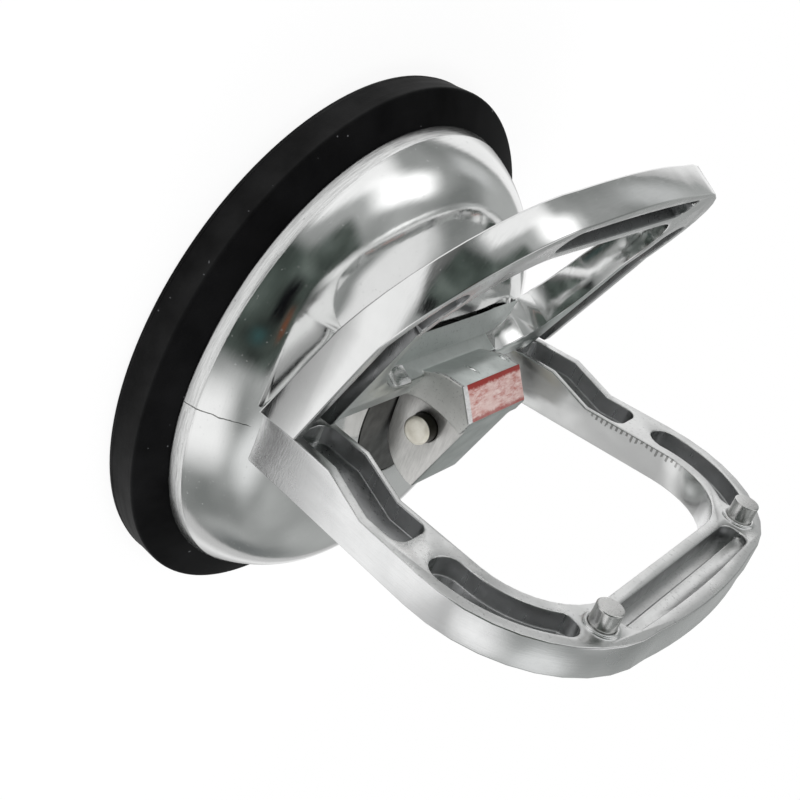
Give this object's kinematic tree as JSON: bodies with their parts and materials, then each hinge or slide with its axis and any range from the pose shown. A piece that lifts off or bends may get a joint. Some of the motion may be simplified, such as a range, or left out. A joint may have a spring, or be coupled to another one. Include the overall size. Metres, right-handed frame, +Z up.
{
  "type": "hand suction lifter",
  "caption": "Hand suction lifter: a round black rubber pad under a polished cast dome, a fixed grip handle and a cam lever that is squeezed towards the grip to draw up the middle of the pad.",
  "frame": {"origin": "middle of the pad's flat underside, on the dome's axis", "axes": "+Z up the dome's axis away from the pad's face, +X along the lever's pin, +Y towards the side where the open lever lies"},
  "size_m": [0.1182, 0.1237, 0.1005],
  "materials": {
    "rubber": "moulded, satin, black",
    "cast_aluminium": "polished casting with ground faces",
    "plated_steel": "zinc plated",
    "dark_steel": "dull, dark",
    "bush_bronze": "machined",
    "ground_steel": "ground, slightly domed ends"
  },
  "bodies": {
    "base": {"suction_pad": "rubber", "dome_shell": "cast_aluminium", "thrust_disc": "dark_steel", "guide_bush": "bush_bronze", "grip_handle": "cast_aluminium", "stop_pegs": "cast_aluminium", "foot_screws": "plated_steel", "foot_washers": "plated_steel"},
    "lift": {"pad_diaphragm": "rubber", "insert_plate": "plated_steel", "nut_washer": "plated_steel", "stud_nut": "plated_steel", "pull_stud": "plated_steel"},
    "lever": {"lever_handle": "cast_aluminium", "pivot_pin": "ground_steel"}
  },
  "joints": [
    {"name": "pad_lift", "type": "slide", "parent": "base", "child": "lift", "axis": [0, 0, 1], "range_m": [0, 0.0042]},
    {"name": "lever_squeeze", "type": "hinge", "parent": "lift", "child": "lever", "pos_m": [0, 0, 0.036], "axis": [1, 0, 0], "range_deg": [0, 65], "stiffness_Nm_per_rad": 0.05}
  ],
  "couplings": [
    {"joint": "pad_lift", "follows": "lever_squeeze", "m_per_rad": 0.003667}
  ]
}
